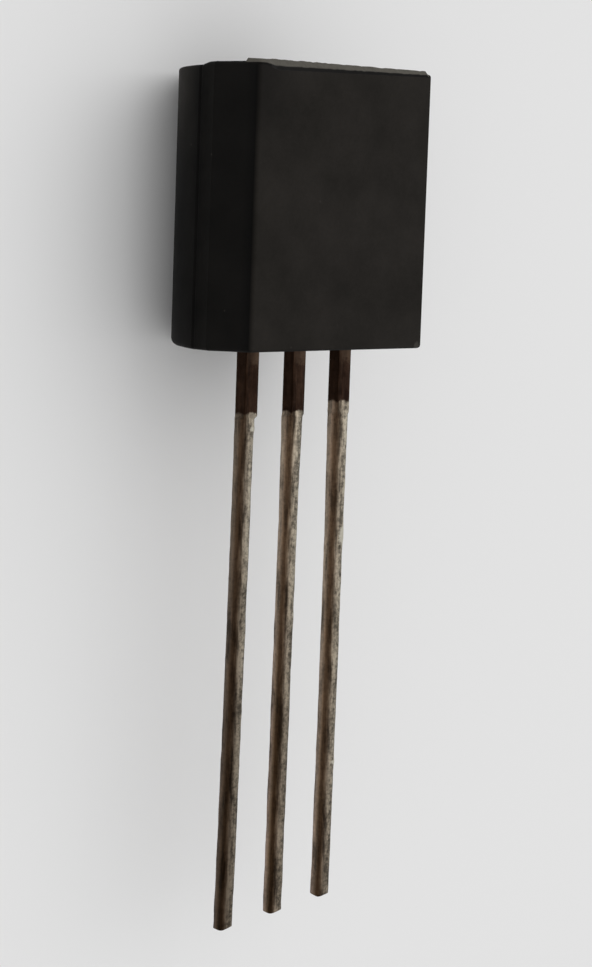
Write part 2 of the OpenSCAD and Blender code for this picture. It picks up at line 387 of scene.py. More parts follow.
# Patterns to a millimetre: mottles about 0.2 mm wide, grain 0.07 mm, and a pinhole of 0.05 mm in each 0.2 mm.
# Marks along the strip are really about 0.02 mm wide; they are drawn 0.1 mm wide and 0.8 mm long, so that
# they show, and start where they suit the legs.
mottles_per_mm = 5.5
grains_per_mm = 14.0
pinholes_per_mm = 4.5
marks_per_mm = 9.0
mark_squeeze = 0.14
mark_start = 0.5
bump_depth = 0.012 * MM
along = add(
    finish,
    "ShaderNodeMapping",
    {"Vector": in_mm, "Location": (0.0, mark_start, 0.0), "Scale": (1.0, mark_squeeze, 1.0)},
).outputs[0]
mottle, streaks, grain = (
    add(
        finish, "ShaderNodeTexNoise", {"Vector": where, "Scale": scale, "Detail": detail, "Roughness": rough}
    ).outputs[0]
    for where, scale, detail, rough in (
        (in_mm, mottles_per_mm, 6.0, 0.75),
        (along, marks_per_mm, 3.0, 0.6),
        (in_mm, grains_per_mm, 3.0, 0.7),
    )
)

# Where a point lies across the two faces that meet at the front corner: 0 at the side's back edge, 0.5 at
# the corner, 1 at the face's far edge. The thin line wanders a little.
on_side = add(
    finish, "ShaderNodeMapRange", {"Value": known["back_to_front"], "From Min": -1.0, "To Max": 0.5}
).outputs[0]
on_face = add(
    finish, "ShaderNodeMapRange", {"Value": known["left_to_right"], "From Min": -1.0, "To Min": 0.5}
).outputs[0]
across = add(finish, "ShaderNodeMix", {0: known["sheared_side"], 2: on_face, 3: on_side}).outputs[0]
wander = add(
    finish,
    "ShaderNodeMapRange",
    {"Value": streaks, "From Min": 0.3, "From Max": 0.7, "To Min": -0.05, "To Max": 0.05},
).outputs[0]
across = add(finish, "ShaderNodeMath", {0: across, 1: wander}, operation="ADD").outputs[0]
# The coat's colours from the side over the corner to the face, where it is bright and where it is dull. The
# side's darker colours are painted shade; the dark corner is partly thin tin over the brown strip and partly
# painted shade.
coat_places = (0.14, 0.3, 0.41, 0.5, 0.6, 0.73, 0.9)
coats = []
for codes in (
    ("#978a7a", "#8b7765", "#6e5946", "#4e3d2f", "#584a3c", "#978c7c", "#968f81"),
    ("#827164", "#5f4e3c", "#3e2e20", "#302317", "#4d4034", "#74695b", "#6b6357"),
):
    coat = add(finish, "ShaderNodeValToRGB", {0: across})
    stops = coat.color_ramp.elements
    stops[0].position, stops[1].position = coat_places[0], coat_places[-1]
    for place in coat_places[1:-1]:
        stops.new(place)
    for stop, code in zip(stops, codes):
        stop.color = srgb(code)
    coats.append(coat.outputs[0])
tin_colour = add(
    finish, "ShaderNodeMix", {0: known["dulling"], 6: coats[0], 7: coats[1]}, data_type="RGBA"
).outputs[2]
# The darker coat is darkest on the side and deepens towards the tip
darker = add(
    finish,
    "ShaderNodeMapRange",
    {"Value": across, "From Min": 0.62, "From Max": 0.92, "To Min": 1.0, "To Max": 0.1},
).outputs[0]
deepens = add(
    finish, "ShaderNodeMapRange", {"Value": known["dulling"], "To Min": 1.0, "To Max": 1.25}
).outputs[0]
for factor in (known["darker_coat"], deepens):
    darker = add(finish, "ShaderNodeMath", {0: darker, 1: factor}, operation="MULTIPLY").outputs[0]
tin_colour = add(
    finish, "ShaderNodeMix", {0: darker, 6: tin_colour, 7: srgb("#241a12")}, data_type="RGBA"
).outputs[2]
# The coat is lumpier on the face than on the side, so its tone varies more there. Grain lies about 0.5, and
# streaks and mottles together about 0.99, which are taken off.
facing = add(finish, "ShaderNodeMapRange", {"Value": across, "From Min": 0.55, "From Max": 0.85}).outputs[0]
pattern = add(finish, "ShaderNodeMath", {0: mottle, 1: streaks}, operation="ADD").outputs[0]
contrast = add(finish, "ShaderNodeMapRange", {"Value": facing, "To Min": 1.8, "To Max": 3.2}).outputs[0]
patches = add(finish, "ShaderNodeMix", {0: facing, 2: streaks, 3: mottle}).outputs[0]
patches = add(finish, "ShaderNodeMath", {0: patches, 1: streaks}, operation="ADD").outputs[0]
grainy = add(finish, "ShaderNodeMapRange", {"Value": facing, "To Min": 0.7, "To Max": 1.1}).outputs[0]
blotch = add(finish, "ShaderNodeMath", {0: grain, 1: 0.5}, operation="SUBTRACT").outputs[0]
blotch = add(
    finish, "ShaderNodeMath", {0: blotch, 1: grainy, 2: patches}, operation="MULTIPLY_ADD"
).outputs[0]
blotch = add(finish, "ShaderNodeMath", {0: blotch, 1: 0.99}, operation="SUBTRACT").outputs[0]
blotch = add(finish, "ShaderNodeMath", {0: blotch, 1: contrast, 2: 1.0}, operation="MULTIPLY_ADD").outputs[0]
blotch = add(finish, "ShaderNodeClamp", {0: blotch, "Min": 0.4, "Max": 1.7}).outputs[0]
tin_colour = add(finish, "ShaderNodeHueSaturation", {"Value": blotch, "Color": tin_colour}).outputs[0]
# Pinholes lie on the face, in the darker mottles, and begin 0.9 to 2.6 mm below the tin line
holes = add(finish, "ShaderNodeTexVoronoi", {"Vector": in_mm, "Scale": pinholes_per_mm}).outputs["Distance"]
holes = add(finish, "ShaderNodeMath", {0: grain, 1: 0.5, 2: holes}, operation="MULTIPLY_ADD").outputs[0]
holes = add(
    finish,
    "ShaderNodeMapRange",
    {"Value": holes, "From Min": 0.36, "From Max": 0.5, "To Min": 0.7, "To Max": 0.0},
).outputs[0]
in_dark = add(finish, "ShaderNodeMapRange", {"Value": mottle, "From Min": 0.56, "From Max": 0.46}).outputs[0]
lower = add(
    finish, "ShaderNodeMapRange", {"Value": known["below_tin_line"], "From Min": 0.9, "From Max": 2.6}
).outputs[0]
for factor in (facing, in_dark, lower):
    holes = add(finish, "ShaderNodeMath", {0: holes, 1: factor}, operation="MULTIPLY").outputs[0]
bead = add(finish, "ShaderNodeMath", {0: grain, 1: known["on_bead"]}, operation="MULTIPLY").outputs[0]
bead = add(finish, "ShaderNodeMapRange", {"Value": bead, "From Min": 0.25, "From Max": 0.6}).outputs[0]
# Pinholes are dark and beads pale. The nipped end is painted dark, partly its bare alloy gone dark and
# partly painted shade on the cut.
for share, code in ((holes, "#2e261d"), (bead, "#bdb8aa"), (known["bare_cut"], "#2b2019")):
    tin_colour = add(
        finish, "ShaderNodeMix", {0: share, 6: tin_colour, 7: srgb(code)}, data_type="RGBA"
    ).outputs[2]

# The oxide above the tin line, with painted shade: darker on the side than on the face and darkest along
# the corner
oxide = add(finish, "ShaderNodeMapRange", {"Value": pattern, "From Min": 0.8, "From Max": 1.3}).outputs[0]
shaded_oxide_side, oxide_face = (
    add(finish, "ShaderNodeMix", {0: oxide, 6: srgb(dark), 7: srgb(light)}, data_type="RGBA").outputs[2]
    for dark, light in (("#1d0f06", "#36251a"), ("#23140c", "#402e23"))
)
oxide_colour = add(
    finish, "ShaderNodeMix", {0: facing, 6: shaded_oxide_side, 7: oxide_face}, data_type="RGBA"
).outputs[2]
corner_shade = add(finish, "ShaderNodeMath", {0: across, 1: 0.5}, operation="SUBTRACT").outputs[0]
corner_shade = add(finish, "ShaderNodeMath", {0: corner_shade}, operation="ABSOLUTE").outputs[0]
corner_shade = add(
    finish, "ShaderNodeMapRange", {"Value": corner_shade, "From Max": 0.2, "To Min": 0.5, "To Max": 1.0}
).outputs[0]
oxide_colour = add(finish, "ShaderNodeHueSaturation", {"Value": corner_shade, "Color": oxide_colour}).outputs[0]
# The film of resin on the face reaches about 0.2 mm from the case
from_case = add(finish, "ShaderNodeSeparateXYZ", {0: in_mm}).outputs["Y"]
from_case = add(finish, "ShaderNodeMath", {0: seat_y / MM, 1: from_case}, operation="SUBTRACT").outputs[0]
bled = add(finish, "ShaderNodeMath", {0: mottle, 1: from_case}, operation="ADD").outputs[0]
bled = add(finish, "ShaderNodeMapRange", {"Value": bled, "From Min": 0.83, "From Max": 0.63}).outputs[0]
bled = add(finish, "ShaderNodeMath", {0: bled, 1: facing}, operation="MULTIPLY").outputs[0]
oxide_colour = add(
    finish, "ShaderNodeMix", {0: bled, 6: oxide_colour, 7: srgb("#5c4a3c")}, data_type="RGBA"
).outputs[2]
# The tin line wanders by about 0.05 mm, and lies as much lower at the corners
wander = add(
    finish, "ShaderNodeMath", {0: mottle, 1: 0.12, 2: known["below_tin_line"]}, operation="MULTIPLY_ADD"
).outputs[0]
wander = add(
    finish, "ShaderNodeMath", {0: known["near_corner"], 1: -0.05, 2: wander}, operation="MULTIPLY_ADD"
).outputs[0]
tinned = add(finish, "ShaderNodeMapRange", {"Value": wander, "From Min": 0.0, "From Max": 0.04}).outputs[0]
colour = add(
    finish, "ShaderNodeMix", {0: tinned, 6: oxide_colour, 7: tin_colour}, data_type="RGBA"
).outputs[2]
metal = add(finish, "ShaderNodeMapRange", {"Value": tinned, "To Min": 0.5, "To Max": 1.0}).outputs[0]
rough = add(
    finish,
    "ShaderNodeMapRange",
    {"Value": pattern, "From Min": 0.7, "From Max": 1.3, "To Min": 0.55, "To Max": 0.4},
).outputs[0]
height = add(finish, "ShaderNodeMath", {0: grain, 1: 0.5, 2: streaks}, operation="MULTIPLY_ADD").outputs[0]
height = add(finish, "ShaderNodeMath", {0: tinned, 1: 0.6, 2: height}, operation="MULTIPLY_ADD").outputs[0]
bump = add(finish, "ShaderNodeBump", {"Strength": 0.8, "Distance": bump_depth, "Height": height}).outputs[0]
surface = add(
    finish,
    "ShaderNodeBsdfPrincipled",
    {"Base Color": colour, "Metallic": metal, "Roughness": rough, "Specular IOR Level": 0.03, "Normal": bump},
).outputs[0]
add(finish, "ShaderNodeOutputMaterial", {"Surface": surface})

for name, lead in leads.items():
    stations = lead_stations(lead)
    guide = bpy.data.meshes.new(name + "_line")
    points = [(middle, seat_y + y, parting_z) for y, middle, *_ in stations]
    guide.from_pydata(points, [(i, i + 1) for i in range(len(points) - 1)], [])
    for column, key in enumerate(section_sizes, start=2):
        values = guide.attributes.new(key, "FLOAT", "POINT")
        values.data.foreach_set("value", [station[column] for station in stations])
    guide_object = put_in_scene(name + "_line", guide)
    modifier = guide_object.modifiers.new("sweep", "NODES")
    modifier.node_group = sweep
    settings = {
        "Tin Line": seat_y - shoulder_length + lead["tin_climb"] * MM,
        "Leg Length": (lead["length"] + lead["tin_climb"]) * MM - shoulder_length,
        "Cut Slope Across": math.tan(math.radians(lead["cut"][0])),
        "Cut Slope Through": math.tan(math.radians(lead["cut"][1])),
        "Dulling": lead["dulling"],
        "Darker Coat": lead["darker"],
        "Finish": tinned_alloy,
    }
    for item in sweep.interface.items_tree:
        if item.name in settings:
            modifier[item.identifier] = settings[item.name]
    evaluated = guide_object.evaluated_get(bpy.context.evaluated_depsgraph_get())
    mesh = bpy.data.meshes.new_from_object(evaluated)
    guide_object.modifiers.remove(modifier)
    bpy.data.objects.remove(guide_object)
    for key in ("spine", "section", *section_sizes):
        mesh.attributes.remove(mesh.attributes[key])
    form = bmesh.new()
    form.from_mesh(mesh)
    bmesh.ops.recalc_face_normals(form, faces=form.faces)
    for face in form.faces:
        face.smooth = True
    form.to_mesh(mesh)
    form.free()
    mesh.set_sharp_from_angle(angle=lead_sharp)
    piece = put_in_scene("stamped_" + name, mesh)
    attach(piece, "root")
    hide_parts(name)

# ---- Chip solder ----
# A film of soft solder, melted between the pad and the metallised underside of the chip. It sets with a grey,
# faintly crystalline skin.
solder, finish, in_mm = new_finish("soft_solder")
# Its crystals are about 0.04 mm across
crystals_per_mm = 28.0
crystals = add(
    finish, "ShaderNodeTexVoronoi", {"Vector": in_mm, "Scale": crystals_per_mm}
).outputs["Distance"]
colour = add(
    finish, "ShaderNodeMix", {0: crystals, 6: srgb("#c4c6c6"), 7: srgb("#9a9b99")}, data_type="RGBA"
).outputs[2]
rough = add(finish, "ShaderNodeMapRange", {"Value": crystals, "To Min": 0.28, "To Max": 0.5}).outputs[0]
bump = add(finish, "ShaderNodeBump", {"Strength": 0.4, "Distance": 0.003 * MM, "Height": crystals}).outputs[0]
surface = add(
    finish,
    "ShaderNodeBsdfPrincipled",
    {"Base Color": colour, "Metallic": 1.0, "Roughness": rough, "Normal": bump},
).outputs[0]
add(finish, "ShaderNodeOutputMaterial", {"Surface": surface})
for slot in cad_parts["chip_solder"].material_slots:
    slot.material = solder

# ---- Chip ----
# A square of silicon, polished as a wafer and sawn out of it. Its top is dark and slightly blue from the
# oxide grown on it, with the faint steps of its diffused areas.
silicon, finish, in_mm = new_finish("polished_silicon")
# The diffused areas are about 0.14 mm across
areas_per_mm = 7.0
areas = add(
    finish, "ShaderNodeTexVoronoi", {"Vector": in_mm, "Scale": areas_per_mm}, distance="CHEBYCHEV"
).outputs["Distance"]
steps = add(finish, "ShaderNodeMapRange", {"Value": areas, "From Min": 0.34, "From Max": 0.36}).outputs[0]
colour = add(
    finish, "ShaderNodeMix", {0: steps, 6: srgb("#3a4150"), 7: srgb("#525a68")}, data_type="RGBA"
).outputs[2]
bump = add(finish, "ShaderNodeBump", {"Strength": 0.3, "Distance": 0.001 * MM, "Height": steps}).outputs[0]
surface = add(
    finish,
    "ShaderNodeBsdfPrincipled",
    {"Base Color": colour, "Metallic": 0.6, "Roughness": 0.16, "Normal": bump},
).outputs[0]
add(finish, "ShaderNodeOutputMaterial", {"Surface": surface})
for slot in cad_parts["transistor_chip"].material_slots:
    slot.material = silicon

# ---- Bond wires ----
# Two gold wires, each balled on the chip with heat, looped over and pressed down on an outer lead's post.
# Drawn gold stays bright, with fine marks along it.
gold, finish, in_mm = new_finish("drawn_gold_wire")
# The marks are about 0.25 mm long and 0.02 mm wide
drawn_marks_per_mm = (4.0, 60.0, 60.0)
drawn = add(finish, "ShaderNodeMapping", {"Vector": in_mm, "Scale": drawn_marks_per_mm}).outputs[0]
marks = add(finish, "ShaderNodeTexNoise", {"Vector": drawn, "Scale": 1.0, "Detail": 2.0}).outputs[0]
colour = add(
    finish, "ShaderNodeMix", {0: marks, 6: srgb("#d9a441"), 7: srgb("#f4cf7c")}, data_type="RGBA"
).outputs[2]
rough = add(finish, "ShaderNodeMapRange", {"Value": marks, "To Min": 0.18, "To Max": 0.34}).outputs[0]
surface = add(
    finish, "ShaderNodeBsdfPrincipled", {"Base Color": colour, "Metallic": 1.0, "Roughness": rough}
).outputs[0]
add(finish, "ShaderNodeOutputMaterial", {"Surface": surface})
for name in ("emitter_bond_wire", "base_bond_wire"):
    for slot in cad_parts[name].material_slots:
        slot.material = gold

# ---- Case ----
# Black epoxy moulding compound, full of silica, pressed molten round the strip in a split mould, whose halves
# are drafted from the parting plane. The gate was broken off along the flat face's far edge and left a low,
# rough strip that narrows to the right; an ejector pin left its round mark in the middle of the back.
case_length = 5.36 * MM
flat_rise = case_high.z - parting_z
draft = math.tan(math.radians(1.5))
lead_end_draft = math.tan(math.radians(2.0))
far_end_draft = math.tan(math.radians(1.6))
parting_half = case_high.x
back_radius = parting_half + 0.02 * MM
# The broken gate's strip. Sizes in pairs are its left end's and its right end's. The gap beside its right end
# is narrower than the others by a share of a column.
gate_columns = 56
gate_inset = 0.01 * MM
gate_right_skip = 0.65
gate_length = (0.16 * MM, 0.065 * MM)
gate_depth = (0.26 * MM, 0.1 * MM)
gate_reach = 0.33 * MM
gate_corner = 0.12 * MM
gate_proud = (0.06 * MM, 0.06 * MM)
gate_lip = 0.04 * MM
gate_rough = 0.015 * MM
gate_tears = 38
gate_row_shift = 7.3
gate_seed = 2.1
gate_left_blend = 4
# A hair-fine ridge at the parting plane, a fine groove along the crease where side flat and round back meet,
# and a small step in the far end, just above the crease
ridge_out = 0.003 * MM
ridge_half = 0.01 * MM
groove_deep = 0.025 * MM
groove_half = 0.05 * MM
step_reach = 0.2 * MM
step_deep = 0.047 * MM
left_edge_round = 0.09 * MM
right_edge_round = 0.035 * MM
front_edge_round = 0.07 * MM
right_corner_round = 0.06 * MM
sharpest_corner = 0.01 * MM
lead_end_back_round = 0.14 * MM
far_end_back_round = 0.04 * MM
round_steps = 4
back_steps = 36
back_blend = 5
case_sharp = math.radians(25)
pin_radius = 0.55 * MM
pin_depth = 0.12 * MM
pin_taper = 0.97
pin_facets = 64

# The crease is where the drafted side flat meets the round back; each repeat comes closer to it
crease_drop = back_radius
for _ in range(60):
    crease_drop = math.sqrt(back_radius**2 - (parting_half - crease_drop * draft) ** 2)
crease_angle = math.asin(crease_drop / back_radius)
# The ridge's and the crease's places in a ring, counted from the flat face
ridge_index = round_steps + 3
crease_index = round_steps + 8


def half_ring(edge_round, front_round, back_round, step):
    """The right half of one ring of an end's rounded edge, from the flat face down the side flat and round
    the back: x, how far it stops short of the end, and height above the parting plane. Step 0 is where the
    walls end."""
    angle = math.pi / 2 * step / round_steps
    drawn_in, short = 1 - math.cos(angle), 1 - math.sin(angle)
    inset = drawn_in * front_round
    corner = max(edge_round - inset, sharpest_corner)
    arc_z = flat_rise - inset - corner
    arc_x = parting_half - inset - arc_z * draft - corner * math.sqrt(1 + draft**2)
    ring = []
    for part in range(round_steps + 1):
        turn = math.pi / 2 - (math.pi / 2 - math.atan(draft)) * part / round_steps
        ring.append((arc_x + corner * math.cos(turn), short * front_round, arc_z + corner * math.sin(turn)))
    for out, z in (
        (0.0, flat_rise - gate_reach),
        (0.0, flat_rise - gate_reach - gate_lip),
        (0.0, ridge_half),
        (ridge_out, 0.0),
        (0.0, -ridge_half),
        (0.0, -crease_drop + step_reach),
        (0.0, -crease_drop + groove_half),
        (-groove_deep, -crease_drop),
    ):
        end_ridge = ridge_out * math.sin(angle) if z == 0.0 else 0.0
        x = parting_half - abs(z) * draft + out - drawn_in * front_round
        ring.append((x, short * front_round - end_ridge, z))
    # The round back is two arcs, either side of the narrow flat along its lowest line
    arc_start = crease_angle + groove_half / back_radius
    arc_end = math.asin(parting_z / back_radius)
    for part in range(back_steps + 1):
        turn = arc_start + (arc_end - arc_start) * part / back_steps
        grown = min(part / (back_steps / back_blend), 1.0)
        radius = front_round + (back_round - front_round) * grown
        reach = back_radius - drawn_in * radius
        ring.append((reach * math.cos(turn), short * radius, -reach * math.sin(turn)))
    return ring


def end_ring(step, at_far_end):
    """One whole ring of an end's rounded edge, placed on the case."""
    right_round = right_corner_round if at_far_end else front_edge_round
    back_round = far_end_back_round if at_far_end else lead_end_back_round
    right = half_ring(right_edge_round, right_round, back_round, step)
    left = half_ring(left_edge_round, front_edge_round, back_round, step)
    ring = []
    for x, short, z in right + [(-x, short, z) for x, short, z in reversed(left)]:
        if at_far_end:
            stepped = min(max((-z - crease_drop + step_reach) / step_reach, 0.0), 1.0)
            y = seat_y + case_length - max(-z, 0.0) * far_end_draft - stepped * step_deep - short
        else:
            y = seat_y + max(z, 0.0) * lead_end_draft + short
        ring.append((x, y, parting_z + z))
    return ring


lead_end_places = [end_ring(step, False) for step in range(round_steps + 1)]
far_end_places = [end_ring(step, True) for step in range(round_steps + 1)]
count = len(far_end_places[0])
# The gate strip has five rows, from the flat face to its foot on the end: how far each one stands proud and
# shows the torn inside. Its left end stands on the rounded corner, flush with the side as far down as it
# reaches, and its lower edge and its foot run straight in from there.
gate_shares = (0.0, 0.5, 1.0, 1.0, 0.0)
lower_edge = 3
reach_index = count - 2 - round_steps
for step, share in enumerate(gate_shares):
    ring = far_end_places[step]
    side_x = ring[reach_index][0]
    for i in range(reach_index, count):
        x, y, z = ring[i]
        if step >= lower_edge:
            x = side_x + gate_corner * (i - reach_index) / (count - 1 - reach_index)
            z = parting_z + flat_rise - gate_reach - (step - lower_edge) * 0.5 * gate_lip
        ring[i] = (x, y + gate_proud[0] * share, z)


def gate_column(step):
    """The gate strip's five points at one place, from the flat face over the rough lip down to the end."""
    share = max(step - gate_right_skip, 0.0) / (gate_columns - gate_right_skip)
    length, depth, proud = (
        right + (left - right) * share for left, right in (gate_length, gate_depth, gate_proud)
    )
    end = seat_y + case_length
    rough = [
        gate_rough * noise.noise(Vector((share * gate_tears, row * gate_row_shift, gate_seed)))
        for row in range(len(gate_shares))
    ]
    # Where the flat face ends, the torn slope, its crest, the lip below it, and the foot on the end, in
    # shares of the strip's sizes
    rows = (
        (end - length + 0.6 * rough[0], flat_rise),
        (end - 0.5 * length + 0.6 * proud + rough[4], flat_rise - 0.35 * depth + 0.5 * rough[2]),
        (end + proud + rough[1], flat_rise - 0.75 * depth + rough[2]),
        (end + 0.85 * proud + rough[1], flat_rise - depth - gate_lip),
        (end, flat_rise - depth - 1.8 * gate_lip + rough[3]),
    )
    right_x = far_end_places[-1][0][0] - gate_inset
    left_x = far_end_places[-1][-1][0] + gate_inset
    x = right_x + (left_x - right_x) * share
    # Both ends of the strip run out into the case's own rounding, the left one over a few columns
    side = 0 if step < gate_columns / 2 else -1
    blend = max(1 - step, 1 - (gate_columns - step) / gate_left_blend, 0.0)
    column = []
    for (y, z), ring in zip(rows, far_end_places):
        _, ring_y, ring_z = ring[side]
        z += parting_z
        column.append((x, y + (ring_y - y) * blend, z + (ring_z - z) * blend))
    return column


form = bmesh.new()
broken = form.verts.layers.float.new("broken_gate")
lead_end = [[form.verts.new(place) for place in ring] for ring in lead_end_places]
far_end = [[form.verts.new(place) for place in ring] for ring in far_end_places]
gate = [[form.verts.new(place) for place in gate_column(step)] for step in range(gate_columns + 1)]
for step, share in enumerate(gate_shares):
    for vertex in far_end[step][reach_index:] + [column[step] for column in gate]:
        vertex[broken] = share
    far_end[step] += [column[step] for column in reversed(gate)]
# The walls run from end to end, and the flat face up to the gate strip
for i in range(count - 1):
    form.faces.new((lead_end[0][i], lead_end[0][i + 1], far_end[0][i + 1], far_end[0][i]))
form.faces.new([lead_end[0][0], lead_end[0][-1]] + far_end[0][count - 1 :] + [far_end[0][0]])
for rings in (lead_end, far_end):
    for outer, inner in zip(rings[:-1], rings[1:]):
        for i in range(len(outer)):
            form.faces.new((outer[i - 1], outer[i], inner[i], inner[i - 1]))
    # The end face: its front, the bands from the ridge to the crease, and its back
    last = rings[-1]
    form.faces.new(last[: ridge_index + 1] + last[count - 1 - ridge_index :])
    for i in range(ridge_index, crease_index):
        form.faces.new((last[i], last[i + 1], last[count - 2 - i], last[count - 1 - i]))
    form.faces.new(last[crease_index : count - crease_index])
bmesh.ops.recalc_face_normals(form, faces=form.faces)
for face in form.faces:
    face.smooth = True
for edge in form.edges:
    edge.smooth = edge.calc_face_angle(0.0) < case_sharp
case = put_in_scene("moulded_case", form)

# The ejector pin, which is cut out of the back
pin = bmesh.new()
bmesh.ops.create_cone(
    pin,
    cap_ends=True,
    segments=pin_facets,
    radius1=pin_radius,
    radius2=pin_radius * pin_taper,
    depth=2 * pin_depth,
)
bmesh.ops.translate(pin, verts=pin.verts, vec=(0, seat_y + case_length / 2, 0))
pin_object = put_in_scene("ejector_pin", pin)

pin_mark = case.modifiers.new("ejector_mark", "BOOLEAN")
pin_mark.operation = "DIFFERENCE"
pin_mark.object = pin_object
flat_shading = case.modifiers.new("flat_faces", "WEIGHTED_NORMAL")
flat_shading.keep_sharp = True
evaluated = case.evaluated_get(bpy.context.evaluated_depsgraph_get())
finished = bpy.data.meshes.new_from_object(evaluated)
case.modifiers.clear()
case.data = finished
bpy.data.objects.remove(pin_object)

# Silica-filled black epoxy, moulded against spark-eroded steel: matte and nearly black, with a fine even
# grain, cloudy where the filler came to the skin, and with a few pale grains of filler at the surface. The
# sides and the back are painted darker than the flat face, and deep black along their edges and the crease,
# as painted shade; the far end of the back has a painted highlight. The broken gate shows the paler inside
# of the compound, painted paler still as a highlight.
compound, finish, in_mm = new_finish("black_epoxy_moulding_compound")
# Patterns to a millimetre: clouds about 1 mm across, a pale grain of filler in each 0.7 mm, itself about 0.05
# mm across, and the grain of the spark-eroded mould, about 0.03 mm and drawn at 0.07 mm so that it shows
clouds_per_mm = 0.9
flecks_per_mm = 1.4
grits_per_mm = 14.0
bump_depth = 0.0025 * MM
clouds = add(
    finish, "ShaderNodeTexNoise", {"Vector": in_mm, "Scale": clouds_per_mm, "Detail": 4.0, "Roughness": 0.6}
).outputs[0]
grit = add(
    finish, "ShaderNodeTexNoise", {"Vector": in_mm, "Scale": grits_per_mm, "Detail": 4.0, "Roughness": 0.7}
).outputs[0]
flecks = add(finish, "ShaderNodeTexVoronoi", {"Vector": in_mm, "Scale": flecks_per_mm}).outputs["Distance"]
fleck = add(
    finish,
    "ShaderNodeMapRange",
    {"Value": flecks, "From Min": 0.02, "From Max": 0.036, "To Min": 0.5, "To Max": 0.0},
).outputs[0]
tone = add(finish, "ShaderNodeMath", {0: grit, 1: 0.35, 2: clouds}, operation="MULTIPLY_ADD").outputs[0]
tone = add(finish, "ShaderNodeMapRange", {"Value": tone, "From Min": 0.4, "From Max": 0.95}).outputs[0]
colour = add(
    finish, "ShaderNodeMix", {0: tone, 6: srgb("#191714"), 7: srgb("#25221f")}, data_type="RGBA"
).outputs[2]
# Painted shade and light on the skin: by which way it faces, along the edges of the side flats and the
# crease, and a painted highlight at the far end of the back
place = add(finish, "ShaderNodeSeparateXYZ", {0: in_mm}).outputs
upward = add(finish, "ShaderNodeNewGeometry").outputs["Normal"]
upward = add(finish, "ShaderNodeSeparateXYZ", {0: upward}).outputs["Z"]
upward = add(finish, "ShaderNodeMapRange", {"Value": upward, "From Min": 0.3, "From Max": 0.95}).outputs[0]
top_mm = case_high.z / MM
crease_mm = (parting_z - crease_drop) / MM
far_mm = (seat_y + case_length) / MM
# Painted shade on the side flats: a quarter of the flat face's tone, and darker still near their top edge
edge_shade = add(
    finish,
    "ShaderNodeMapRange",
    {"Value": place["Z"], "From Min": top_mm - 0.3, "From Max": top_mm - 0.1, "To Min": 0.25, "To Max": 0.1},
).outputs[0]
# Painted shade along the crease, where the side flat meets the round back
off_crease = add(finish, "ShaderNodeMath", {0: place["Z"], 1: crease_mm}, operation="SUBTRACT").outputs[0]
off_crease = add(finish, "ShaderNodeMath", {0: off_crease}, operation="ABSOLUTE").outputs[0]
# The painted shade along the crease is broken and wanders, over stretches of about 0.5 mm
worn_per_mm = 2.0
crease_shade_breaks = add(finish, "ShaderNodeTexNoise", {"Vector": in_mm, "Scale": worn_per_mm, "Detail": 4.0}).outputs[0]
crease_shade_breaks = add(finish, "ShaderNodeMath", {0: crease_shade_breaks, 1: 0.5}, operation="SUBTRACT").outputs[0]
off_crease = add(
    finish, "ShaderNodeMath", {0: crease_shade_breaks, 1: 0.5, 2: off_crease}, operation="MULTIPLY_ADD"
).outputs[0]
crease_shade = add(
    finish, "ShaderNodeMapRange", {"Value": off_crease, "From Max": 0.19, "To Min": 0.3, "To Max": 1.0}
).outputs[0]
side_shade = add(finish, "ShaderNodeMath", {0: edge_shade, 1: crease_shade}, operation="MULTIPLY").outputs[0]
behind = add(
    finish,
    "ShaderNodeMapRange",
    {"Value": place["Z"], "From Min": crease_mm - 0.1, "From Max": crease_mm - 0.7},
).outputs[0]
far, left = (
    add(
        finish,
        "ShaderNodeMapRange",
        {"Value": place[axis], "From Min": start, "From Max": end},
        interpolation_type="SMOOTHSTEP",
    ).outputs[0]
    for axis, start, end in (("Y", far_mm - 2.3, far_mm), ("X", -1.0, -2.2))
)
# The back has a little more painted shade than the side flats, and a painted highlight towards the far end
far_end_highlight = add(finish, "ShaderNodeMath", {0: far, 1: behind}, operation="MULTIPLY").outputs[0]
for share, change in ((behind, -0.17), (far_end_highlight, 1.2)):
    side_shade = add(
        finish, "ShaderNodeMath", {0: share, 1: change, 2: side_shade}, operation="MULTIPLY_ADD"
    ).outputs[0]
# Painted shade: the flat face darkens towards its far left corner
corner = add(finish, "ShaderNodeMath", {0: far, 1: left}, operation="MULTIPLY").outputs[0]
face_shade = add(finish, "ShaderNodeMapRange", {"Value": corner, "To Min": 1.0, "To Max": 0.5}).outputs[0]
# Painted shade: the skin darkens where it turns from the flat face towards the sides and the back
painted_shading = add(finish, "ShaderNodeMix", {0: upward, 2: side_shade, 3: face_shade}).outputs[0]
colour = add(finish, "ShaderNodeHueSaturation", {"Value": painted_shading, "Color": colour}).outputs[0]
# A chip at the flat face's corner, beside the base lead, shows the same pale inside as the broken strip
chip_spot = (case_high.x / MM - 0.16, seat_y / MM + 0.1, top_mm - 0.03)
chipped = add(finish, "ShaderNodeVectorMath", {0: in_mm, 1: chip_spot}, operation="DISTANCE").outputs["Value"]
chipped = add(finish, "ShaderNodeMath", {0: grit, 1: -0.12, 2: chipped}, operation="MULTIPLY_ADD").outputs[0]
chipped = add(
    finish,
    "ShaderNodeMapRange",
    {"Value": chipped, "From Min": 0.0, "From Max": 0.03, "To Min": 0.8, "To Max": 0.0},
).outputs[0]
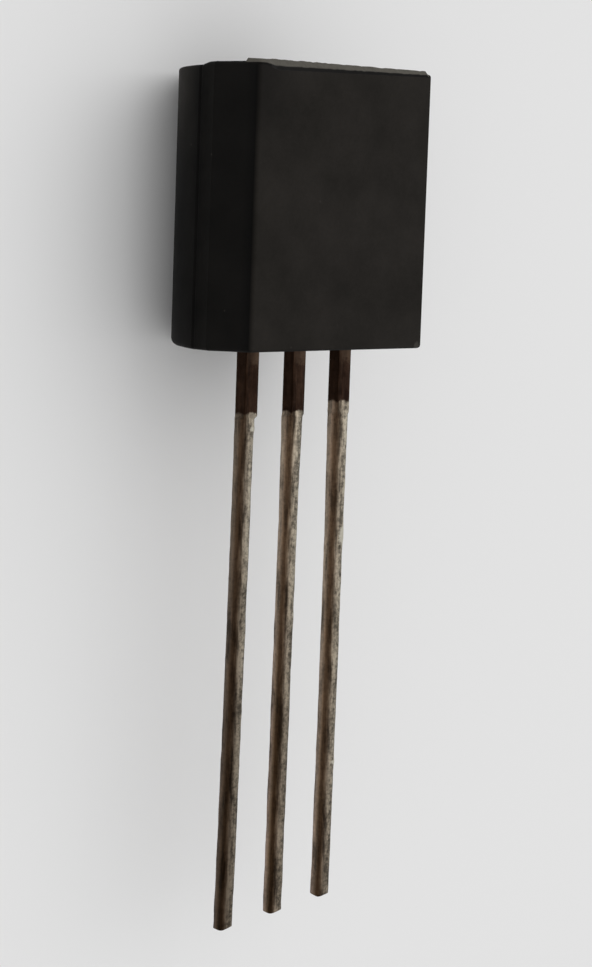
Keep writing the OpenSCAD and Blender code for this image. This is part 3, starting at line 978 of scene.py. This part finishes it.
# The broken strip is painted pale, partly its paler torn inside and partly a painted highlight, with a
# painted shadow line where it starts at the flat face
gate = add(finish, "ShaderNodeAttribute", attribute_name="broken_gate").outputs["Fac"]
start = add(finish, "ShaderNodeMapRange", {"Value": gate, "From Min": 0.01, "From Max": 0.08}).outputs[0]
torn_inside_and_highlight = add(finish, "ShaderNodeMapRange", {"Value": gate, "From Min": 0.34, "From Max": 0.45}).outputs[0]
pale = add(
    finish, "ShaderNodeMix", {0: grit, 6: srgb("#413e39"), 7: srgb("#625f58")}, data_type="RGBA"
).outputs[2]
layers = ((fleck, srgb("#33302c")), (chipped, srgb("#3d3a36")), (start, srgb("#0b0908")), (torn_inside_and_highlight, pale))
for share, other in layers:
    colour = add(finish, "ShaderNodeMix", {0: share, 6: colour, 7: other}, data_type="RGBA").outputs[2]
rough = add(finish, "ShaderNodeMapRange", {"Value": tone, "To Min": 0.68, "To Max": 0.56}).outputs[0]
bump = add(finish, "ShaderNodeBump", {"Strength": 0.55, "Distance": bump_depth, "Height": grit}).outputs[0]
surface = add(
    finish,
    "ShaderNodeBsdfPrincipled",
    {"Base Color": colour, "Roughness": rough, "Specular IOR Level": 0.06, "Normal": bump},
).outputs[0]
add(finish, "ShaderNodeOutputMaterial", {"Surface": surface})
case.data.materials.clear()
case.data.materials.append(compound)
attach(case, "root")
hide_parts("case")

# ---- Floor ----
# A plain pale sheet of uncoated paper, on which the transistor lies on its back. It has no gloss and reaches
# far past the picture.
sheet_half = 2.0
form = bmesh.new()
bmesh.ops.create_grid(form, x_segments=1, y_segments=1, size=sheet_half)
floor = put_in_scene("floor", form)
paper = bpy.data.materials.new("pale_paper")
paper.use_nodes = True
finish = paper.node_tree
finish.nodes["Principled BSDF"].inputs["Base Color"].default_value = srgb("#e9e9e9")
finish.nodes["Principled BSDF"].inputs["Roughness"].default_value = 0.95
finish.nodes["Principled BSDF"].inputs["Specular IOR Level"].default_value = 0.0
floor.data.materials.append(paper)

# ---- Light ----
# An even white room, which is seen as pale grey, a broad soft lamp beyond the case's end on the right, and a
# weak one opposite
lamp_distance = 0.9
room = bpy.data.worlds.new("room")
bpy.context.scene.world = room
room.use_nodes = True
finish = room.node_tree
finish.nodes.clear()
path = add(finish, "ShaderNodeLightPath").outputs
seen = path["Is Camera Ray"]
for ray in ("Is Glossy Ray", "Is Transmission Ray"):
    seen = add(finish, "ShaderNodeMath", {0: seen, 1: path[ray]}, operation="MAXIMUM").outputs[0]
plain = add(finish, "ShaderNodeBackground", {"Color": srgb("#ffffff"), "Strength": 0.72}).outputs[0]
pale = add(finish, "ShaderNodeBackground", {"Color": srgb("#e1e1e1"), "Strength": 1.0}).outputs[0]
light = add(finish, "ShaderNodeMixShader", {0: seen, 1: plain, 2: pale}).outputs[0]
add(finish, "ShaderNodeOutputWorld", {"Surface": light})

aim = Vector((0.0, 2 * MM, 1.5 * MM))
for name, direction, power, width in (
    ("key_lamp", (0.35, 0.55, 0.76), 3.2, 1.5),
    ("fill_lamp", (-0.6, -0.3, 0.74), 0.8, 1.5),
):
    lamp = bpy.data.lights.new(name, "AREA")
    lamp.energy = power
    lamp.shape = "DISK"
    lamp.size = width
    lamp_object = put_in_scene(name, lamp)
    away = Vector(direction).normalized()
    lamp_object.location = aim + away * lamp_distance
    lamp_object.rotation_mode = "QUATERNION"
    lamp_object.rotation_quaternion = away.to_track_quat("Z", "Y")

# ---- Camera ----
# Looks down on the flat face from the left through a long lens, with the case at the top of the picture and
# the leads below it
camera_distance = 51.96 * MM
target = Vector((0.516, 0.2597, 2.0214)) * MM
toward = Vector((-0.7108, 0.1103, 0.6947)).normalized()
level = Vector((0.0, 1.0, 0.0)).cross(toward).normalized()
upward = toward.cross(level)
roll = math.radians(2.019)
right = level * math.cos(roll) + upward * math.sin(roll)
up = toward.cross(right)
lens = bpy.data.cameras.new("camera")
lens.sensor_width = 36.0
lens.lens = 98.35
lens.clip_start = 0.001
lens.clip_end = 10.0
camera = put_in_scene("camera", lens)
turn = Matrix((right, up, toward)).transposed()
camera.matrix_world = Matrix.Translation(target + toward * camera_distance) @ turn.to_4x4()
bpy.context.scene.camera = camera
bpy.context.scene.view_settings.view_transform = "Standard"

# ---- Scene update ----
bpy.context.view_layer.update()
